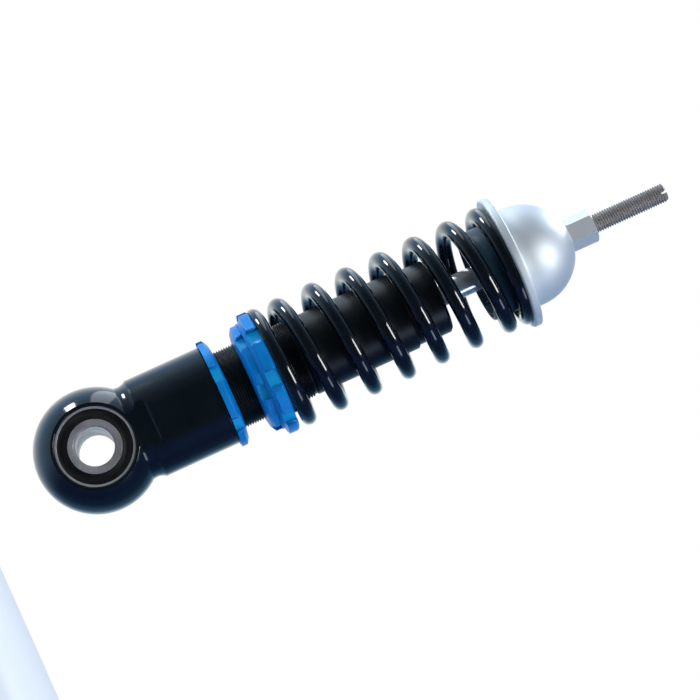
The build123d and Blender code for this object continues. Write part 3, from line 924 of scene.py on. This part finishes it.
@dataclass
class RodUnit:
    """The rod with its piston, the cup and the stud.

    Attributes:
        store: the materials.
        rod: radius of the rod.
        shoulder: radius of the lower end, which carries the piston.
        shank: radius of the plain length inside the cup and its nut.
        relief: radius of the groove under the stud's thread.
        slot_width: width of the screwdriver slot.
        slot_depth: depth of that slot.
        thread: the stud's thread.
        undercut: height of the groove's foot over the nut.
        first_turn: where the thread starts, over the nut.
        last_turn: where the thread stops, under the stud's end.
        tip_flare: how much wider than the groove the stud's end starts.
        tip_taper: width and height of the taper at the stud's end.
        finish_reach: how far under the nut's top the thread's finish starts.
    """

    store: FinishStore
    rod: float = 0.006
    shoulder: float = 0.0048
    shank: float = 0.005
    relief: float = 0.0037
    slot_width: float = 0.0015
    slot_depth: float = 0.0025
    thread: Thread = Thread(0.0045, 0.00068, 0.00125, 48)
    undercut: float = 0.0003
    first_turn: float = 0.0006
    last_turn: float = 0.0007
    tip_flare: float = 0.0001
    tip_taper: float = 0.0002
    finish_reach: float = 0.0001

    def build_rod(self) -> bpy.types.Object:
        """Build the rod with its threaded stud and the slot in its end.

        Returns:
            The rod.
        """
        low, high = (corner.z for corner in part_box("piston_rod"))
        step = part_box("piston")[1].z
        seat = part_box("cup_washer")[0].z
        nut_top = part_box("cup_nut")[1].z
        below = [(0.0, low), (self.shoulder, low), (self.shoulder, step), (self.rod, step),
                 (self.rod, seat), (self.shank, seat), (self.shank, nut_top),
                 (self.relief, nut_top + self.undercut)]
        above = [(self.relief + self.tip_flare, high - self.tip_taper),
                 (self.relief - self.tip_taper, high), (0.0, high)]
        mesh = turned_thread(self.thread, nut_top + self.first_turn, high - self.last_turn,
                             below, above)
        for face in mesh.faces:
            face.material_index = int(face.calc_center_median().z > nut_top - self.finish_reach)
        rod = piece_from(mesh, "piston_rod_threaded", "rod_body", ("piston_rod",),
                         [self.store.get(CHROME), self.store.get(DARK_THREAD)])
        self.cut_slot(rod, high)
        return rod

    def cut_slot(self, rod: bpy.types.Object, top: float) -> None:
        """Cut the screwdriver slot across the stud's end.

        Args:
            rod: the rod.
            top: height of the stud's end.
        """
        mesh = bmesh.new()
        size = (self.slot_width, 4 * self.thread.radius, 2 * self.slot_depth)
        place = Matrix.Translation((0, 0, top)) @ Matrix.Diagonal((*size, 1.0))
        bmesh.ops.create_cube(mesh, size=1.0, matrix=place)
        data = bpy.data.meshes.new("slot_cutter")
        mesh.to_mesh(data)
        mesh.free()
        data.materials.append(self.store.get(DARK_THREAD))
        cutter = bpy.data.objects.new("slot_cutter", data)
        bpy.context.scene.collection.objects.link(cutter)
        cut = rod.modifiers.new("slot", "BOOLEAN")
        cut.operation, cut.solver, cut.object = "DIFFERENCE", "EXACT", cutter
        bpy.context.view_layer.update()
        solved = rod.evaluated_get(bpy.context.evaluated_depsgraph_get())
        shaped = bpy.data.meshes.new_from_object(solved)
        rod.modifiers.clear()
        rod.data = shaped
        shaped.set_sharp_from_angle(angle=math.radians(SHARP))
        bpy.data.objects.remove(cutter)

    def build_cup(self) -> bpy.types.Object:
        """Build the silver cup with painted shade on its skirt, coloured dark teal below the
        spring's top.

        Returns:
            The cup.
        """
        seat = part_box("coil_spring")[1].z
        materials = [self.store.get(SILVER_CUP), self.store.get(CUP_SKIRT_PAINTED_SHADE)]
        return painted_light_copy("spring_cup", "rod_body", materials,
                        lambda face: face.calc_center_median().z < seat)

    def dress(self) -> None:
        """Give the piston's parts, the stops and the cup's nut their finishes."""
        for node, finish in (("piston", BRONZE), ("piston_band", FILLED_PTFE),
                             ("rebound_shims", BLUED_STEEL), ("compression_shims", BLUED_STEEL),
                             ("piston_nut", ZINC_STEEL), ("rebound_bumper", BUMP_FOAM),
                             ("snap_ring", BLUED_STEEL), ("bump_stop", BUMP_FOAM),
                             ("cup_washer", ZINC_STEEL), ("cup_nut", ZINC_STEEL)):
            self.store.dress(node, finish)


# ---------------------------------------------------------------- studio
UPPER_SURROUND: Stops = (
    (0.10, (0.034, 0.043, 0.051)), (0.26, (0.10, 0.12, 0.17)), (0.40, (0.20, 0.29, 0.42)),
    (0.55, (0.31, 0.47, 0.61)), (0.74, (0.35, 0.60, 0.95)), (0.96, (0.95, 1.0, 1.0)))
LOWER_SURROUND: Stops = (
    (0.16, (0.034, 0.043, 0.051)), (0.28, (0.05, 0.085, 0.27)), (0.42, (0.05, 0.09, 0.28)),
    (0.57, (0.03, 0.05, 0.18)), (0.76, (0.03, 0.085, 0.2)), (0.92, (0.14, 0.3, 0.5)),
    (1.0, (0.8, 0.95, 1.0)))


@dataclass(frozen=True)
class SoftBox:
    """A soft box that faces the strut's middle.

    Attributes:
        name: the light's name.
        towards: direction from the strut to the light.
        distance: how far away it is.
        size: its width and its height, the height lying nearest to the strut's direction.
        power: its power in watts.
        colour: its colour.
        mirrored: whether shiny surfaces show it.
        shape: its outline.
    """

    name: str
    towards: Colour
    distance: float
    size: tuple[float, float]
    power: float
    colour: Colour = WHITE
    mirrored: bool = True
    shape: LampShape = LampShape.BOX

    def build(self, target: Vector) -> bpy.types.Object:
        """Place the light.

        Args:
            target: the point that it faces.

        Returns:
            The light.
        """
        data = bpy.data.lights.new(self.name, "AREA")
        data.shape, data.energy, data.color = self.shape.value, self.power, self.colour
        data.size, data.size_y = self.size
        light = bpy.data.objects.new(self.name, data)
        bpy.context.scene.collection.objects.link(light)
        light.visible_glossy = self.mirrored
        back = Vector(self.towards).normalized()
        side = UPWARDS.cross(back).normalized()
        turn = Matrix((side, back.cross(side), back)).transposed().to_4x4()
        light.matrix_world = Matrix.Translation(target + back * self.distance) @ turn
        LOG.info("placed light %s", self.name)
        return light


SOFT_BOXES = (
    SoftBox("key", (0.345, -0.615, 0.71), 1.3, (0.62, 0.42), 10.0),
    SoftBox("top_side", (-0.97, 0.12, -0.245), 1.008, (0.26, 0.2), 3.2),
    SoftBox("head", (-0.32, 0.37, 0.87), 1.0, (0.26, 0.26), 3.2),
    SoftBox("low_side", (0.887, -0.338, 0.31), 1.1, (0.4, 0.36), 1.2, (0.75, 0.87, 1.0)),
    SoftBox("cup_upper", (-0.5, 0.12, 0.155), 0.54, (0.7, 0.24), 0.55, shape=LampShape.ROUND),
    SoftBox("cup_fill", (0.45, 0.10, 0.165), 0.49, (0.3, 0.16), 0.7, (0.6, 0.85, 1.0),
            mirrored=False),
    SoftBox("fill", (-0.62, -0.7, 0.25), 1.2, (0.5, 0.5), 4.0, mirrored=False),
)


@dataclass
class Surround:
    """The world round the strut: plain white to look at, shaded where surfaces mirror it.

    Attributes:
        upper: shades from front to back on the side of -X.
        lower: shades from front to back on the side of +X.
        blend_half: half the width over which one side turns into the other.
    """

    upper: Stops = UPPER_SURROUND
    lower: Stops = LOWER_SURROUND
    blend_half: float = 0.35

    def __post_init__(self) -> None:
        """Make the world and empty its tree."""
        self.world = bpy.data.worlds.new("surround")
        self.world.use_nodes = True
        self.tree = self.world.node_tree
        self.tree.nodes.clear()

    def add(self, kind: str) -> bpy.types.Node:
        """Add a node."""
        return self.tree.nodes.new(kind)

    def ramp(self, stops: Stops, along: bpy.types.NodeSocket) -> bpy.types.NodeSocket:
        """Add a colour ramp.

        Args:
            stops: its stops as (place, colour).
            along: the socket that it follows.

        Returns:
            The colour's socket.
        """
        node = self.add("ShaderNodeValToRGB")
        points = node.color_ramp.elements
        while len(points) < len(stops):
            points.new(0.5)
        for point, (place, colour) in zip(points, stops):
            point.position, point.color = place, (*colour, 1.0)
        self.tree.links.new(along, node.inputs["Fac"])
        return node.outputs["Color"]

    def shade(self) -> bpy.types.NodeSocket:
        """Shade the surround by direction.

        Returns:
            The colour's socket.
        """
        links = self.tree.links
        place, apart = self.add("ShaderNodeTexCoord"), self.add("ShaderNodeSeparateXYZ")
        links.new(place.outputs["Generated"], apart.inputs[0])
        depth, sides = self.add("ShaderNodeMapRange"), self.add("ShaderNodeMapRange")
        depth.inputs["From Min"].default_value = -1.0
        links.new(apart.outputs["Y"], depth.inputs["Value"])
        sides.interpolation_type = "SMOOTHSTEP"
        sides.inputs["From Min"].default_value = -self.blend_half
        sides.inputs["From Max"].default_value = self.blend_half
        links.new(apart.outputs["X"], sides.inputs["Value"])
        blend = self.add("ShaderNodeMix")
        blend.data_type = "RGBA"
        links.new(sides.outputs["Result"], blend.inputs["Factor"])
        for socket, stops in ((blend.inputs[6], self.upper), (blend.inputs[7], self.lower)):
            links.new(self.ramp(stops, depth.outputs["Result"]), socket)
        return blend.outputs[2]

    def build(self) -> bpy.types.World:
        """Join the shaded surround and the white one, and make it the scene's world.

        Returns:
            The world.
        """
        links = self.tree.links
        shaded, white = self.add("ShaderNodeBackground"), self.add("ShaderNodeBackground")
        links.new(self.shade(), shaded.inputs["Color"])
        white.inputs["Color"].default_value = (*WHITE, 1.0)
        path, choose = self.add("ShaderNodeLightPath"), self.add("ShaderNodeMixShader")
        for source, target in ((path.outputs["Is Camera Ray"], 0), (shaded.outputs[0], 1),
                               (white.outputs[0], 2)):
            links.new(source, choose.inputs[target])
        links.new(choose.outputs[0], self.add("ShaderNodeOutputWorld").inputs["Surface"])
        bpy.context.scene.world = self.world
        return self.world


@dataclass
class Studio:
    """The floor, the lights and the camera.

    Attributes:
        aim: point that the camera looks at.
        forward: direction that the camera looks in.
        distance: from the camera to that point.
        lens: the camera's focal length in millimetres.
        sensor: width of the camera's sensor in millimetres.
        clip: nearest and farthest distance that the camera sees.
        roll: how far the strut leans in the picture, in degrees.
        lit: point that the lights face.
        floor_height: height of the floor.
        floor_radius: radius of the floor.
        floor_facets: facets round the floor's edge.
        floor_colour: colour of the floor.
        floor_roughness: roughness of the floor.
    """

    aim: Vector = field(default_factory=lambda: Vector((0.0062, 0.0, 0.12575)))
    forward: Vector = field(default_factory=lambda: Vector((-0.094, 0.992, 0.082)).normalized())
    distance: float = 1.492
    lens: float = 165.4
    sensor: float = 36.0
    clip: tuple[float, float] = (0.05, 20.0)
    roll: float = 24.5
    lit: Vector = field(default_factory=lambda: Vector((0.0, 0.0, 0.125)))
    floor_height: float = -0.08
    floor_radius: float = 0.4
    floor_facets: int = 96
    floor_colour: Colour = (0.86, 0.87, 0.88)
    floor_roughness: float = 0.7

    def build_floor(self) -> bpy.types.Object:
        """Build a plain pale floor.

        Returns:
            The floor.
        """
        mesh = bmesh.new()
        bmesh.ops.create_circle(mesh, cap_ends=True, segments=self.floor_facets,
                                radius=self.floor_radius,
                                matrix=Matrix.Translation((0, 0, self.floor_height)))
        data = bpy.data.meshes.new("floor")
        mesh.to_mesh(data)
        mesh.free()
        floor = bpy.data.objects.new("floor", data)
        bpy.context.scene.collection.objects.link(floor)
        material = bpy.data.materials.new("pale_floor")
        shader = NodeSheet(material).shader
        shader.inputs["Base Color"].default_value = (*self.floor_colour, 1.0)
        shader.inputs["Roughness"].default_value = self.floor_roughness
        data.materials.append(material)
        floor.visible_glossy = False
        return floor

    def build_lights(self) -> None:
        """Place the soft boxes and the surround."""
        for box in SOFT_BOXES:
            box.build(self.lit)
        Surround().build()

    def build_camera(self) -> bpy.types.Object:
        """Place the camera, rolled so that the strut lies across the picture.

        Returns:
            The camera.
        """
        data = bpy.data.cameras.new("camera")
        data.lens, data.sensor_width = self.lens, self.sensor
        data.clip_start, data.clip_end = self.clip
        camera = bpy.data.objects.new("camera", data)
        bpy.context.scene.collection.objects.link(camera)
        along = (UPWARDS - self.forward * UPWARDS.dot(self.forward)).normalized()
        across = self.forward.cross(along)
        roll = math.radians(self.roll)
        right = math.cos(roll) * along + math.sin(roll) * across
        up = math.sin(roll) * along - math.cos(roll) * across
        turn = Matrix((right, up, -self.forward)).transposed().to_4x4()
        place = self.aim - self.forward * self.distance
        camera.matrix_world = Matrix.Translation(place) @ turn
        bpy.context.scene.camera = camera
        return camera


def main() -> None:
    """Build every sub-assembly in order, then the studio."""
    logging.basicConfig(level=logging.INFO, format="%(name)s: %(message)s")
    store = FinishStore()
    eye, damper, preload, rod = EyeEnd(store), DamperUnit(store), PreloadSet(store), RodUnit(store)
    studio = Studio()
    eye.build_rubber()
    eye.dress()
    damper.build_tube()
    damper.dress()
    preload.build_spring()
    preload.build_rings()
    rod.build_rod()
    rod.build_cup()
    rod.dress()
    studio.build_floor()
    studio.build_lights()
    studio.build_camera()
    bpy.context.scene.view_settings.view_transform = "Standard"


if __name__ == "__main__":
    main()
